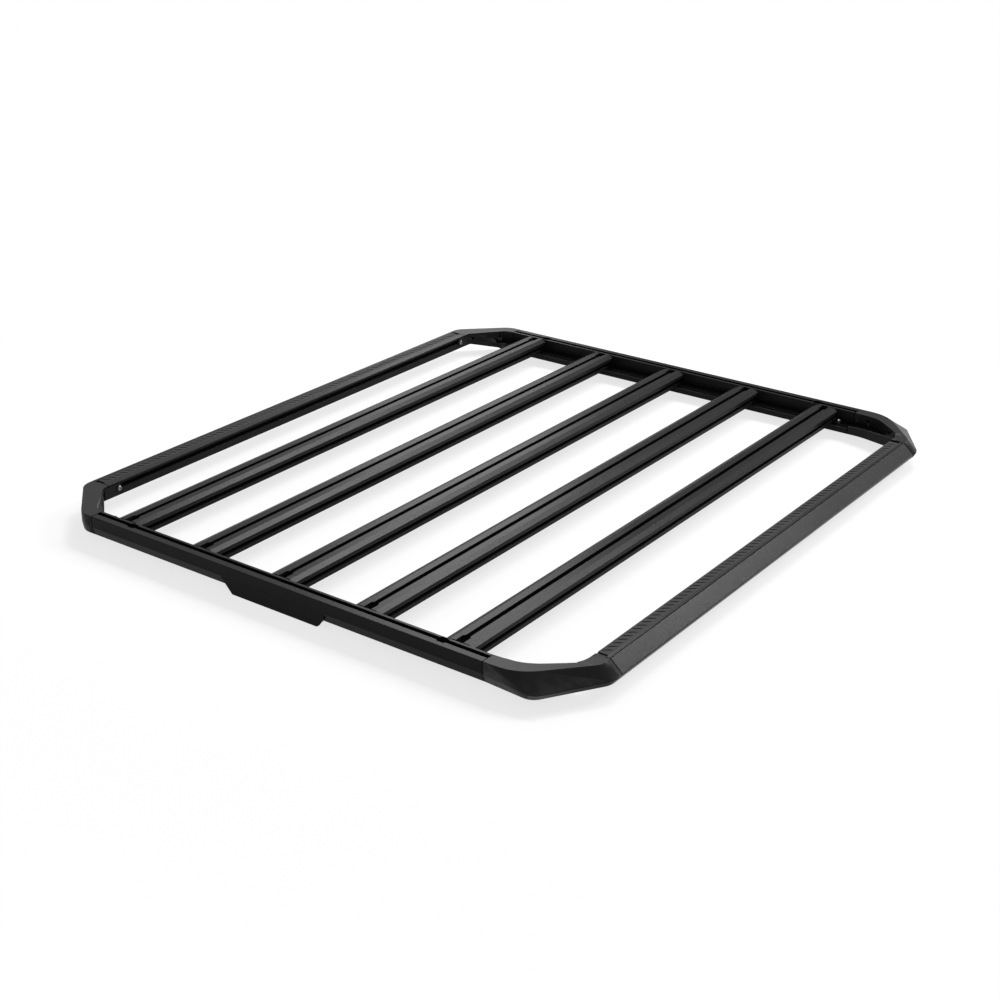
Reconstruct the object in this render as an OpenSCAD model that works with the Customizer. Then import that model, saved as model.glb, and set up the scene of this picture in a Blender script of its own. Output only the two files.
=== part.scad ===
// Low roof platform: two side rails, five cross slats, four cast corners and two end fairings.
// Front is -Y, the vehicle's width runs along X and +Z is up.

/* [Tray] */
// Width across the outer faces of the two side rails
tray_w = 1500; // [1100:5:1700]
// Length of each side rail between its two corner castings
rail_l = 995; // [900:5:1500]
// How far the front corners and fairing reach past the rails
front_reach = 196; // [180:1:230]
// How far the rear corners and fairing reach past the rails
rear_reach = 139; // [125:1:180]
// Height of the side rails
rail_h = 42.5; // [40:0.5:60]
// Gap left at each butt joint between rails, castings and fairings
seam = 0.6; // [0.3:0.1:0.9]
// Clearance of a plug, plate or strip in its seat
fit = 0.25; // [0.1:0.05:0.4]

/* [Side rails] */
// Width of the rail's outer lip, beside its top slot
rail_lip_out = 15; // [13:0.5:20]
// Width of the rail's inner lip, beside its top slot
rail_lip_in = 5.4; // [4:0.2:9]
// Width of every accessory slot
slot_w = 10.5; // [8:0.5:12]
// Width of the channel under every accessory slot
channel_w = 18; // [16:0.5:20]
// Depth of the channel under every accessory slot
channel_d = 11; // [8:0.5:12]
// Thickness of the lips over the channels
lip_t = 2.6; // [2:0.1:3.5]
// Wall of the extruded rails, slats and fairings
wall = 2.2; // [1.6:0.1:2.6]
// Height of the rail's upright outer face, above its chamfer
rail_face_h = 24.5; // [20:0.5:30]
// How far the chamfer takes the rail's lower edge inwards
rail_chamfer = 6.3; // [3:0.1:9]
// Distance from the rail's outer face to the inner edge of its ledge
ledge_in = 66.6; // [60:0.2:74]
// Thickness of the ledge's upper wall
ledge_wall = 3; // [2.4:0.1:3.2]
// Width of the groove along the ledge
groove_w = 6.4; // [4:0.2:8]
// Width of the lip along the ledge's inner edge
groove_lip = 6; // [4:0.5:9]
// Length of the wide mouth where a nut drops into a slot
mouth_l = 21; // [14:1:30]
// Length of the slanted ends of a nut mouth
mouth_taper = 4; // [2:0.5:6]
// Distance from a rail's end to the nut mouth in its slot
mouth_in = 101.5; // [60:0.5:200]

/* [Slats] */
// Distance from a rail's end to the middle of the nearest slat
end_slat_in = 74.5; // [66:0.5:110]
// Width of a slat
slat_w = 62.8; // [60:0.2:70]
// Height of a slat, from its foot to its top
slat_h = 30; // [29:0.2:32]
// Width of the flat band along the top of a slat
slat_flat_w = 39.2; // [34:0.2:44]
// Fall of the sloped shoulders beside the flat band
shoulder_h = 4.7; // [2:0.1:6]
// Height of a slat's side, from its top to its lower edge
slat_side_h = 12.6; // [10:0.2:15]
// Width of a slat's core, between the two side recesses
core_w = 24; // [23.5:0.5:34]
// Width of a slat's foot
foot_w = 60; // [52:0.2:62]
// Height of a slat's foot
foot_h = 8.2; // [5:0.2:9]
// Gap between a slat's end and the rail's inner lip
slat_gap = 2.5; // [1:0.5:4]

/* [Slat clamps] */
// Width of a clamp along the slat
clamp_w = 20; // [16:1:22]
// Thickness of a clamp
clamp_t = 3; // [2:0.5:4]
// How far a clamp reaches out on the ledge, beside the slat's foot
clamp_reach = 16; // [15:1:20]
// Radius of the bolt hole in a clamp
clamp_hole_r = 3.3; // [2.5:0.1:4]
// First slat, counted from the front, whose clamps sit behind it
first_back_clamp = 2; // [1:1:6]

/* [Front fairing] */
// Run of the front slope, from its top edge to the nose
nose_run = 24; // [14:1:30]
// Drop of the front slope, from the top to the nose
nose_drop = 21.5; // [16:0.5:24]
// Height of the small upright face on the nose
nose_face = 4.3; // [2:0.1:5]
// How far the lower edge lies behind the nose
nose_under = 5.2; // [2:0.2:9]
// Width of the plain border in front of the front tread
front_border = 9.9; // [6:0.1:14]
// Distance from the rail's outer face to the front fairing's end
front_run = 140; // [125:1:160]

/* [Rear fairing] */
// Height of the rear fairing's upright outer face
rear_face_h = 24; // [18:0.5:26]
// How far the lower edge lies inside the rear face
rear_under = 5; // [2:0.2:8]
// Width of the plain border behind the rear tread
rear_border = 8.8; // [6:0.1:14]
// Width of the plain band between the rear tread and the inner edge
rear_inner_band = 17; // [10:0.5:22]
// Distance from the rail's outer face to the rear fairing's end
rear_run = 126; // [115:1:150]
// Height of the rear fairing
rear_h = 30.4; // [29.6:0.2:34]

/* [Fairing inside] */
// Height of the front fairing
fairing_h = 34.4; // [33:0.2:36]
// Depth below the top of the slot along a fairing's inner side
side_slot_z = 4.6; // [4.4:0.2:6]
// Height of the slot along a fairing's inner side
side_slot_h = 10.8; // [9:0.2:13]
// Depth of the slot along a fairing's inner side
side_slot_d = 9; // [6:0.5:10]
// Thickness of the small round on the castings' edges
edge_break = 1.2; // [0.6:0.1:1.8]

/* [Front corners] */
// How far a front corner's widest line swings out past the rail's face
flare = 11; // [4:0.5:14]
// Distance from the rail's end to the widest line's bend
flare_v = 113.5; // [100:0.5:125]
// Distance from the rail's end to the bend in the top's outer edge
front_bend_v = 70; // [55:1:80]
// Distance from the rail's end to the bend in the top's inner edge
front_hip_v = 61; // [45:1:64]
// Straight length of a front corner's nose, beside the fairing
nose_land = 26.6; // [20:0.2:34]
// Straight length of the top's inner edge, beside the fairing
inner_land = 40.5; // [36:0.5:48]
// Straight length of the inner wall, beside the fairing
wall_land = 32; // [26:0.5:35]
// Distance from the rail's end to the bend in a front corner's inner wall
wall_bend_v = 34.6; // [28:0.2:45]
// Rise of the inner wall's rim over the rail's ledge, at the rail
rim_rise = 6.4; // [3:0.2:10]
// Depth of the inner wall's rim below the top, beside the front fairing
rim_end_z = 10; // [8:0.5:14]
// Draft of the corners' inner faces, from their top edge to the foot
draft = 1.2; // [0.8:0.2:2]
// Thickness of the rim between a corner's pocket and its inner side
rim_t = 3; // [2.5:0.5:5]
// Length left solid between a front corner's pocket and the fairing, along its slanted wall
pocket_end = 10; // [8:0.5:16]
// Rise of a front corner's pocket floor towards the fairing
pocket_rise = 4; // [0:0.5:6]
// Distance from the rail's end to a front corner's first screw hole
front_hole_v = 35; // [20:0.5:40]
// Place of a front corner's second screw hole along its slanted wall, as a share of it
front_hole_share = 0.59; // [0.4:0.01:0.7]
// Radius of the screw holes in a corner's wall
corner_hole_r = 3.6; // [2.5:0.1:4]
// Depth of the screw holes in a corner's wall
corner_hole_d = 7; // [4:0.5:9]
// Depth below the top of the front corners' screw holes
front_hole_z = 14.2; // [12:0.2:17]

/* [Rear corners] */
// Distance from the rail's end to the bend in the top's outer edge
rear_bend_v = 31.4; // [24:0.2:38]
// Straight length of the rear corner's top, beside the fairing
rear_land = 26; // [18:0.5:32]
// Distance from the rail's end to the bend in the top's inner edge
rear_hip_v = 22; // [14:0.5:28]
// Straight length of the top's inner edge, beside the fairing
rear_inner_land = 14; // [12:0.5:24]
// Straight length of the inner wall, beside the fairing
rear_wall_land = 22; // [16:0.5:28]
// Distance from the rail's end to the bend in a rear corner's inner wall
rear_wall_bend_v = 12; // [10:0.5:18]
// Depth below the top of the rear corners' screw holes
rear_hole_z = 13.5; // [10:0.5:16]

/* [Treads] */
// Width of the front tread strip
tread_w = 21.8; // [18:0.2:22.4]
// Width of the rear tread strip
rear_tread_w = 23.6; // [18:0.2:26]
// Thickness of a tread strip
tread_t = 2; // [1.6:0.1:2]
// Length left free at each end of a tread strip
tread_end = 7.5; // [3:0.5:12]
// Distance between neighbouring grip cuts along a tread
grip_pitch = 16.1; // [12:0.1:24]
// Width of a grip cut
grip_w = 4.8; // [3:0.2:6]
// Depth of a grip cut
grip_d = 1; // [0.4:0.1:1.2]
// Lean of the grip cuts from straight across the tread
grip_lean = 36; // [0:1:45]
// Plain margin on both sides of the grip cuts
grip_margin = 2; // [1:0.2:4]

/* [Joint plates] */
// How far a joint plate reaches from the seam over the casting
joint_back = 13; // [10:0.5:13.5]
// Distance from the seam to the screw in the fairing's side slot
joint_screw = 26; // [20:0.5:40]
// Thickness of a joint plate
joint_t = 2; // [1.5:0.5:4]
// Height of a joint plate
joint_h = 24.5; // [22:0.5:25]
// Radius of a joint plate's round end
joint_end_r = 8.5; // [7:0.5:9]
// Radius of the screw hole in a joint plate
joint_hole_r = 2.6; // [2:0.1:3.2]

/* [Name plate] */
// Length of the bare name plate under one rail, along its top edge
plate_l = 264; // [180:1:400]
// Height of the name plate
plate_h = 30.5; // [26:0.5:40]
// Thickness of the name plate
plate_t = 2; // [1.5:0.5:3]
// How far the plate's lower edge is drawn in at its rear end
plate_slant = 29; // [10:1:40]
// How far the plate's lower edge is drawn in at its front end
plate_nip = 12; // [4:1:20]
// Length of the small slant at the plate's lower front corner
plate_nick = 6; // [2:0.5:10]
// Gap between the rail's upright face and the plate's top edge
plate_gap = 1.4; // [0.4:0.2:2]

/* [Hidden] */
$fn = 48;
// Overshoot of a cutting solid past the face that it cuts
cut = 1;
// Overlap of a casting's plugs with its body
plug_bite = 3;

rail_top_w = rail_lip_out + slot_w + rail_lip_in;
rail_slot_u = rail_lip_out + slot_w / 2;
channel_bottom = lip_t + channel_d + wall;
slat_pitch = (rail_l - 2 * end_slat_in) / 4;
mouth_y = rail_l / 2 - mouth_in;
ledge_d = slat_h;
groove_d = rail_h - ledge_d - ledge_wall - wall;
slat_l = tray_w - 2 * (rail_top_w + slat_gap);
front_l = tray_w - 2 * front_run - 2 * seam;
rear_l = tray_w - 2 * rear_run - 2 * seam;
tread_seat = tread_t + fit;
front_top_v = front_reach - nose_run;
front_inner_v = front_top_v - front_border - tread_w;
rear_inner_v = rear_reach - rear_border - rear_tread_w - rear_inner_band;
plate_drop = plate_h + plate_gap - (rail_h - rail_face_h);
top_z = rail_h + plate_drop;
grid_y = (front_reach - rear_reach) / 2;
alloy = [0.13, 0.13, 0.135];
casting = [0.17, 0.17, 0.175];
matte = [0.08, 0.08, 0.085];

// Puts a piece drawn with z 0 at the tray's top, and y 0 at the rails' middle, in the part's frame
module place() translate([0, grid_y, top_z]) children();

// Turns a drawing of u inwards from a rail's outer face, and z, into a bar along Y
module along_rail(side, l) scale_side(side)
  translate([-tray_w / 2, l / 2, 0]) rotate([90, 0, 0]) linear_extrude(l) children();

// Mirrors what is drawn for the left side (-X) to the right side
module scale_side(side) mirror([side > 0 ? 1 : 0, 0, 0]) children();

// A slot mouth seen from above, along +X from the channel's open end
module mouth_outline(l, taper) polygon([
  [-cut, -channel_w / 2], [l - taper, -channel_w / 2], [l, -slot_w / 2],
  [l, slot_w / 2], [l - taper, channel_w / 2], [-cut, channel_w / 2]
]);

// Section of a side rail, with u inwards from the outer face and z 0 at the top
module rail_section() {
  slope = rail_chamfer / (rail_h - rail_face_h);
  floor_z = -(rail_h - wall);
  groove_in = ledge_in - groove_lip;
  difference() {
    polygon([
      [0, -edge_break], [edge_break, 0], [rail_top_w, 0], [rail_top_w, -ledge_d], [ledge_in, -ledge_d],
      [ledge_in, -rail_h], [rail_chamfer, -rail_h], [0, -rail_face_h]
    ]);
    translate([rail_slot_u - slot_w / 2, -lip_t - cut]) square([slot_w, lip_t + 2 * cut]);
    translate([rail_slot_u - channel_w / 2, -lip_t - channel_d]) square([channel_w, channel_d]);
    polygon([
      [wall, -lip_t], [rail_slot_u - channel_w / 2 - wall, -lip_t],
      [rail_slot_u - channel_w / 2 - wall, -channel_bottom], [rail_top_w - wall, -channel_bottom],
      [rail_top_w - wall, -ledge_d - ledge_wall],
      [groove_in - groove_w - wall, -ledge_d - ledge_wall], [groove_in - groove_w - wall, floor_z],
      [wall + slope * (rail_h - wall - rail_face_h), floor_z], [wall, -rail_face_h]
    ]);
    translate([groove_in - groove_w, -ledge_d - groove_d]) square([groove_w, groove_d + cut]);
  }
}

// Side rail: an extrusion with a top slot, two nut mouths and a ledge for the slats
module rail(side) color(alloy) place() difference() {
  along_rail(side, rail_l) rail_section();
  for (end = [-1, 1])
    scale_side(side)
      translate([-tray_w / 2 + rail_slot_u, end * mouth_y, -lip_t - fit])
        linear_extrude(lip_t + fit + cut)
          for (flip = [0, 1]) mirror([0, flip]) rotate(90)
            translate([-cut, 0]) mouth_outline(mouth_l / 2 + cut, mouth_taper);
}

// Section of a slat across its length: its right half and the same points mirrored
module slat_section() {
  core_top = -channel_bottom;
  foot_top = -(slat_h - foot_h);
  half = [
    [slat_flat_w / 2, 0], [slat_w / 2, -shoulder_h], [slat_w / 2, -slat_side_h],
    [slat_w / 2 - wall, -slat_side_h], [slat_w / 2 - wall, -shoulder_h - wall],
    [core_w / 2, -lip_t - wall], [core_w / 2, foot_top], [foot_w / 2, foot_top],
    [foot_w / 2, -slat_h]
  ];
  difference() {
    polygon(concat(half, [for (i = [len(half) - 1 : -1 : 0]) [-half[i].x, half[i].y]]));
    translate([-slot_w / 2, -lip_t - cut]) square([slot_w, lip_t + 2 * cut]);
    translate([-channel_w / 2, -lip_t - channel_d]) square([channel_w, channel_d]);
    translate([-core_w / 2 + wall, -slat_h + wall])
      square([core_w - 2 * wall, slat_h - wall + core_top]);
    for (flip = [0, 1]) mirror([flip, 0])
      translate([core_w / 2, -slat_h + wall / 2])
        square([(foot_w - core_w) / 2 - wall, foot_h - wall]);
  }
}

// Cross slat: an extrusion with a top slot that opens to a wide mouth at each end
module slat(i) color(alloy) place() translate([0, (i - 3) * slat_pitch, 0]) difference() {
  translate([-slat_l / 2, 0, 0]) rotate([90, 0, 90]) linear_extrude(slat_l) slat_section();
  for (side = [0, 1]) mirror([side, 0, 0])
    translate([-slat_l / 2, 0, -lip_t - fit])
      linear_extrude(lip_t + fit + cut) mouth_outline(mouth_l + mouth_taper, mouth_taper);
}

// Clamp: a stepped shoe that bolts to the ledge and presses the slat's foot down
module clamp(i, side) color(matte) place() scale_side(side)
  translate([-tray_w / 2 + rail_top_w + fit, (i - 3) * slat_pitch, -ledge_d])
  mirror([0, i < first_back_clamp ? 0 : 1, 0]) translate([0, -foot_w / 2 - fit, 0]) difference() {
    union() {
      translate([0, -clamp_reach, 0]) cube([clamp_w, clamp_reach, clamp_t]);
      translate([0, -clamp_t, 0]) cube([clamp_w, clamp_t, foot_h + fit + clamp_t]);
      translate([0, -clamp_t, foot_h + fit])
        cube([clamp_w, (foot_w - core_w) / 2 + clamp_t, clamp_t]);
    }
    translate([clamp_w / 2, -clamp_reach / 2 - clamp_t / 2, -cut])
      cylinder(r = clamp_hole_r, h = clamp_t + 2 * cut);
  }

// Section of the front fairing, with v outwards from the rails' ends and z 0 at the top
module front_section() {
  v_in = front_inner_v;
  v_tread = front_top_v - front_border;
  v_low = front_reach - nose_under;
  slot_low = -side_slot_z - side_slot_h;
  difference() {
    polygon([
      [v_in, -tread_seat], [v_tread, -tread_seat], [v_tread, 0], [front_top_v, 0],
      [front_reach, -nose_drop], [front_reach, -nose_drop - nose_face], [v_low, -fairing_h],
      [v_in, -fairing_h], [v_in, slot_low], [v_in + side_slot_d, slot_low],
      [v_in + side_slot_d, -side_slot_z], [v_in, -side_slot_z]
    ]);
    polygon([
      [v_in + side_slot_d + wall, -tread_seat - wall], [v_tread + wall, -tread_seat - wall],
      [front_top_v, -tread_seat - wall], [front_reach - 1.6 * wall, -nose_drop - wall / 2],
      [front_reach - 1.6 * wall, -nose_drop - nose_face], [v_low - 1.6 * wall, -fairing_h + wall],
      [v_in + wall, -fairing_h + wall], [v_in + wall, slot_low - wall],
      [v_in + side_slot_d + wall, slot_low - wall]
    ]);
  }
}

// Section of the rear fairing, with v outwards from the rails' ends and z 0 at the top
module rear_section() {
  v_in = rear_inner_v;
  v_seat = v_in + rear_inner_band;
  v_low = rear_reach - rear_under;
  slot_low = -side_slot_z - side_slot_h;
  difference() {
    polygon([
      [v_in, 0], [v_seat, 0], [v_seat, -tread_seat], [v_seat + rear_tread_w, -tread_seat],
      [v_seat + rear_tread_w, 0], [rear_reach - edge_break, 0], [rear_reach, -edge_break],
      [rear_reach, -rear_face_h], [v_low, -rear_h], [v_in, -rear_h], [v_in, slot_low],
      [v_in + side_slot_d, slot_low], [v_in + side_slot_d, -side_slot_z], [v_in, -side_slot_z]
    ]);
    polygon([
      [v_in + side_slot_d + wall, -tread_seat - wall], [rear_reach - wall, -tread_seat - wall],
      [rear_reach - wall, -rear_face_h], [v_low - wall, -rear_h + wall],
      [v_in + wall, -rear_h + wall], [v_in + wall, slot_low - wall],
      [v_in + side_slot_d + wall, slot_low - wall]
    ]);
  }
}

// Bar across the vehicle from a drawing of v and z, at the front (-1) or the rear (1)
module across(end, l) mirror([0, end < 0 ? 1 : 0, 0])
  translate([-l / 2, rail_l / 2, 0]) rotate([90, 0, 90]) linear_extrude(l) children();

module fairing_front() color(alloy) place() across(-1, front_l) front_section();
module fairing_rear() color(alloy) place() across(1, rear_l) rear_section();

// Outline of a grip cut: a slender leaf that leans over by `lean` at its tip
function leaf(lean, reach) = concat(
  [for (t = [-1 : 0.5 : 1]) [lean * t + grip_w / 2 * (1 - t * t), reach * t]],
  [for (t = [0.5 : -0.5 : -0.5]) [lean * t - grip_w / 2 * (1 - t * t), reach * t]]
);

// Tread: a strip in the fairing's seat with slanted grip cuts
module tread(end, l, w, v_mid) color(matte) place() mirror([0, end < 0 ? 1 : 0, 0])
  translate([0, rail_l / 2 + v_mid, -tread_seat]) {
    strip_l = l - 2 * tread_end;
    reach = w / 2 - fit;
    lean = tan(grip_lean) * (reach - grip_margin) * -end;
    count = floor((strip_l - 2 * abs(lean) - 2 * grip_w) / grip_pitch);
    difference() {
      translate([-strip_l / 2, -reach, 0]) cube([strip_l, 2 * reach, tread_t]);
      for (i = [0 : count]) translate([(i - count / 2) * grip_pitch, 0, tread_t - grip_d])
        linear_extrude(grip_d + cut) polygon(leaf(lean, reach - grip_margin));
    }
  }

// Points of a fillet that leaves the corner b of the path a, b, c at the setback s
function unit(v) = v / norm(v);
function fillet(a, b, c, s, steps) =
  let(p = b + unit(a - b) * s, q = b + unit(c - b) * s)
  [for (i = [0 : steps]) let(t = i / steps) p * (1 - t) * (1 - t) + b * 2 * t * (1 - t) + q * t * t];

// Line along a corner casting: four knees in [u, v, z] with its two bends rounded
bend_steps = 7;
function corner_line(k, s1, s2) = concat(
  [k[0]], fillet(k[0], k[1], k[2], s1, bend_steps), fillet(k[1], k[2], k[3], s2, bend_steps), [k[3]]
);

// Closed solid through lines that share a count of points; the lines go round its section.
// Each end is closed by triangles that meet in one line's point: its hub
module loft(lines, first_hub = 0, last_hub = 0) {
  n = len(lines);
  rows = len(lines[0]);
  last = (rows - 1) * n;
  polyhedron(
    points = [for (r = [0 : rows - 1]) for (line = lines) line[r]],
    faces = concat(
      [for (i = [1 : n - 2]) [first_hub, (first_hub + i + 1) % n, (first_hub + i) % n]],
      [for (i = [1 : n - 2])
        [last + last_hub, last + (last_hub + i) % n, last + (last_hub + i + 1) % n]],
      [for (r = [0 : rows - 2]) for (i = [0 : n - 1]) let(j = (i + 1) % n)
        [r * n + i, (r + 1) * n + j, (r + 1) * n + i]],
      [for (r = [0 : rows - 2]) for (i = [0 : n - 1]) let(j = (i + 1) % n)
        [r * n + i, r * n + j, (r + 1) * n + j]]
    )
  );
}

// Places a corner drawn in [u, v, z] at one of the four corners
module at_corner(side, end) scale_side(side) mirror([0, end < 0 ? 1 : 0, 0])
  translate([-tray_w / 2, rail_l / 2, 0]) children();

// Plug of a casting inside the rail's hollow
module rail_plug() {
  plug_l = 40;
  u_out = wall + rail_chamfer;
  translate([u_out, -plug_l, -ledge_d])
    cube([rail_top_w - wall - fit - u_out, plug_l + seam + plug_bite, ledge_d - channel_bottom - fit]);
}

// Plug of a casting inside a fairing's hollow
module fairing_plug(run, h, v_in, v_out) {
  plug_l = 35;
  z_low = -h + wall + fit;
  z_top = -side_slot_z - side_slot_h - wall - fit;
  translate([run - plug_bite, v_in + wall + fit, z_low])
    cube([plug_l, v_out - v_in - wall - fit, z_top - z_low]);
}

// Front corner casting: an upright wall at the rail that leans over into the fairing's slope
module corner_front(side) color(casting) place() at_corner(side, -1) {
  v0 = seam;
  u3 = front_run;
  low = -fairing_h;
  u_top = u3 - nose_land;
  u_in = u3 - inner_land;
  u_wall = u3 - wall_land;
  v_low = front_reach - nose_under;
  rim = -ledge_d + rim_rise;
  hip_u = rail_top_w + 4;
  lines = [
    corner_line([[edge_break, v0, 0], [edge_break, front_bend_v, 0],
      [u_top, front_top_v - edge_break / 2, 0], [u3, front_top_v - edge_break / 2, 0]], 44, 14),
    corner_line([[0, v0, -edge_break], [0, front_bend_v, -edge_break],
      [u_top, front_top_v, -edge_break / 3], [u3, front_top_v, -edge_break / 3]], 44, 14),
    corner_line([[0, v0, -rail_face_h], [-flare, flare_v, -rail_face_h],
      [u_top + 2, front_reach, -nose_drop], [u3, front_reach, -nose_drop]], 18, 12),
    corner_line([[0, v0, -rail_face_h - 1], [-flare, flare_v, -rail_face_h - 2],
      [u_top + 2, front_reach, -nose_drop - nose_face], [u3, front_reach, -nose_drop - nose_face]], 18, 12),
    corner_line([[rail_chamfer, v0, -rail_h], [rail_chamfer - 0.7 * flare, flare_v - 9.5, -rail_h + 1],
      [u_top, v_low, low], [u3, v_low, low]], 18, 12),
    corner_line([[ledge_in, v0, -rail_h], [ledge_in + 1, wall_bend_v, -rail_h + 0.5],
      [u_wall, front_inner_v, low], [u3, front_inner_v, low]], 20, 14),
    corner_line([[ledge_in, v0, rim], [ledge_in + 1, wall_bend_v, rim + 2],
      [u_wall, front_inner_v, -rim_end_z], [u3, front_inner_v, -rim_end_z + 2]], 20, 14),
    corner_line([[rail_top_w + draft, v0, rim + 1], [hip_u + draft, front_hip_v, rim + 6],
      [u_in, front_inner_v, -rim_end_z + 2], [u3, front_inner_v, -rim_end_z + 4]], 20, 28),
    corner_line([[rail_top_w, v0, 0], [hip_u, front_hip_v, 0],
      [u_in, front_inner_v, 0], [u3, front_inner_v, 0]], 20, 28)
  ];
  // The pocket between the inner face, which goes on from the rail's, and the rim of the inner wall
  hip = [hip_u, front_hip_v];
  face_dir = unit([u_in, front_inner_v] - hip);
  rim_bend = [ledge_in + 1, wall_bend_v];
  rim_dir = unit([u_wall, front_inner_v] - rim_bend);
  rim_in = rim_t * [-rim_dir.y, rim_dir.x];
  face = flat_line([rail_top_w + draft / 2, v0 - cut], hip + [draft / 2, 0],
    [u_in + draft / 2, front_inner_v] - pocket_end * 2 * face_dir,
    [u_in + draft / 2, front_inner_v] - pocket_end * face_dir, 20, 4);
  rim_side = flat_line([ledge_in - rim_t, v0 - cut], rim_bend - [rim_t, 0],
    [u_wall, front_inner_v] - pocket_end * 2 * rim_dir + rim_in,
    [u_wall, front_inner_v] - pocket_end * rim_dir + rim_in, 20, 4);
  hole = hip + front_hole_share * ([u_in, front_inner_v] - hip);
  difference() {
    loft(lines, len(lines) - 2, 1);
    loft([
      [for (p = face) [p.x, p.y, cut]],
      [for (p = face) [p.x, p.y, pocket_floor(p.y)]],
      [for (p = rim_side) [p.x, p.y, pocket_floor(p.y)]],
      [for (p = rim_side) [p.x, p.y, cut]]
    ]);
    translate([rail_top_w, front_hole_v, -front_hole_z]) rotate([0, 90, 0])
      cylinder(r = corner_hole_r, h = 2 * corner_hole_d, center = true);
    translate([hole.x, hole.y, -front_hole_z]) rotate([0, 90, atan2(face_dir.y, face_dir.x) - 90])
      cylinder(r = corner_hole_r, h = 2 * corner_hole_d, center = true);
  }
  rail_plug();
  fairing_plug(front_run, fairing_h, front_inner_v + rim_t, v_low - 2 * wall);
}

// Flat line through four knees [u, v] with its two bends rounded, as a corner line is
function flat_line(a, b, c, d, s1, s2) =
  corner_line([[a.x, a.y, 0], [b.x, b.y, 0], [c.x, c.y, 0], [d.x, d.y, 0]], s1, s2);

// Floor of a front corner's pocket: level with the rail's ledge, then rising towards the fairing
function pocket_floor(v) = -ledge_d
  + max(0, v - front_hip_v) * pocket_rise / (front_inner_v - front_hip_v);

// Rear corner casting: an upright outer wall, a wide flat top and a shelf beside the rail
module corner_rear(side) color(casting) place() at_corner(side, 1) {
  v0 = seam;
  u3 = rear_run;
  low = -rear_h;
  u_top = u3 - rear_land;
  u_in = u3 - rear_inner_land;
  u_wall = u3 - rear_wall_land;
  v_low = rear_reach - rear_under;
  rim = -ledge_d + rim_rise;
  lines = [
    corner_line([[edge_break, v0, 0], [edge_break, rear_bend_v + 0.5, 0],
      [u_top + 1, rear_reach - edge_break, 0], [u3, rear_reach - edge_break, 0]], 20, 16),
    corner_line([[0, v0, -edge_break], [0, rear_bend_v, -edge_break],
      [u_top, rear_reach, -edge_break], [u3, rear_reach, -edge_break]], 20, 16),
    corner_line([[0, v0, -rail_face_h], [0, rear_bend_v + 1, -rail_face_h],
      [u_top, rear_reach, -rear_face_h], [u3, rear_reach, -rear_face_h]], 20, 16),
    corner_line([[rail_chamfer, v0, -rail_h], [rail_chamfer - 2, rear_bend_v + 3, -rail_h + 1],
      [u_top, v_low, low], [u3, v_low, low]], 20, 16),
    corner_line([[ledge_in, v0, -rail_h], [ledge_in + 1, rear_wall_bend_v, -rail_h + 0.5],
      [u_wall, rear_inner_v, low], [u3, rear_inner_v, low]], 10, 8),
    corner_line([[ledge_in, v0, rim], [ledge_in + 1, rear_wall_bend_v, rim + 1],
      [u_wall, rear_inner_v, rim / 2], [u3, rear_inner_v, rim / 3]], 10, 8),
    corner_line([[rail_top_w + draft, v0, rim + 1.5], [rail_top_w + 1 + draft, rear_hip_v, rim + 3],
      [u_in, rear_inner_v, rim / 2 + 2], [u3, rear_inner_v, rim / 3 + 2]], 16, 6),
    corner_line([[rail_top_w, v0, 0], [rail_top_w + 1, rear_hip_v, 0],
      [u_in, rear_inner_v, 0], [u3, rear_inner_v, 0]], 16, 6)
  ];
  hip_dir = unit([u_in - rail_top_w - 1, rear_inner_v - rear_hip_v]);
  hip = [rail_top_w + 1, rear_hip_v];
  holes = [hip + hip_dir * 18, hip + hip_dir * ((u_in - hip.x) / hip_dir.x - 13)];
  face = flat_line([rail_top_w + draft / 2, v0 - cut], hip + [draft / 2, 0],
    hip + hip_dir * 30 + [draft / 2, 0], hip + hip_dir * 36 + [draft / 2, 0], 16, 4);
  difference() {
    loft(lines, len(lines) - 2, 1);
    translate([0, 0, -ledge_d]) linear_extrude(ledge_d + cut) polygon(concat(
      [for (p = face) [p.x, p.y]],
      [[ledge_in + 1 - rim_t, rear_wall_bend_v + 8], [ledge_in - rim_t, rear_wall_bend_v - 2],
        [ledge_in - rim_t, v0 - cut]]
    ));
    for (p = holes) translate([p.x, p.y, -rear_hole_z]) rotate([0, 90, atan2(hip_dir.y, hip_dir.x) - 90])
      cylinder(r = corner_hole_r, h = 2 * corner_hole_d, center = true);
  }
  rail_plug();
  fairing_plug(rear_run, rear_h, rear_inner_v, rear_reach - rear_under - wall - fit);
}

// Joint plate: a tongue with a round end, screwed across the inner side of a casting and its fairing
module joint(side, end, run, v_in) color(casting) place() at_corner(side, end)
  translate([run, v_in - fit, 0]) rotate([90, 0, 0]) linear_extrude(joint_t) {
    screw_z = -side_slot_z - joint_end_r;
    low = -side_slot_z - joint_h;
    heel = joint_screw - joint_end_r;
    difference() {
      polygon(concat(
        [[-joint_back, low], [-joint_back, -side_slot_z]],
        [for (a = [90 : -15 : -90]) [joint_screw, screw_z] + joint_end_r * [cos(a), sin(a)]],
        [[heel, screw_z - joint_end_r], [heel, low + joint_end_r / 2], [heel - joint_end_r, low]]
      ));
      translate([joint_screw, screw_z]) circle(r = joint_hole_r);
    }
  }

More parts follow.
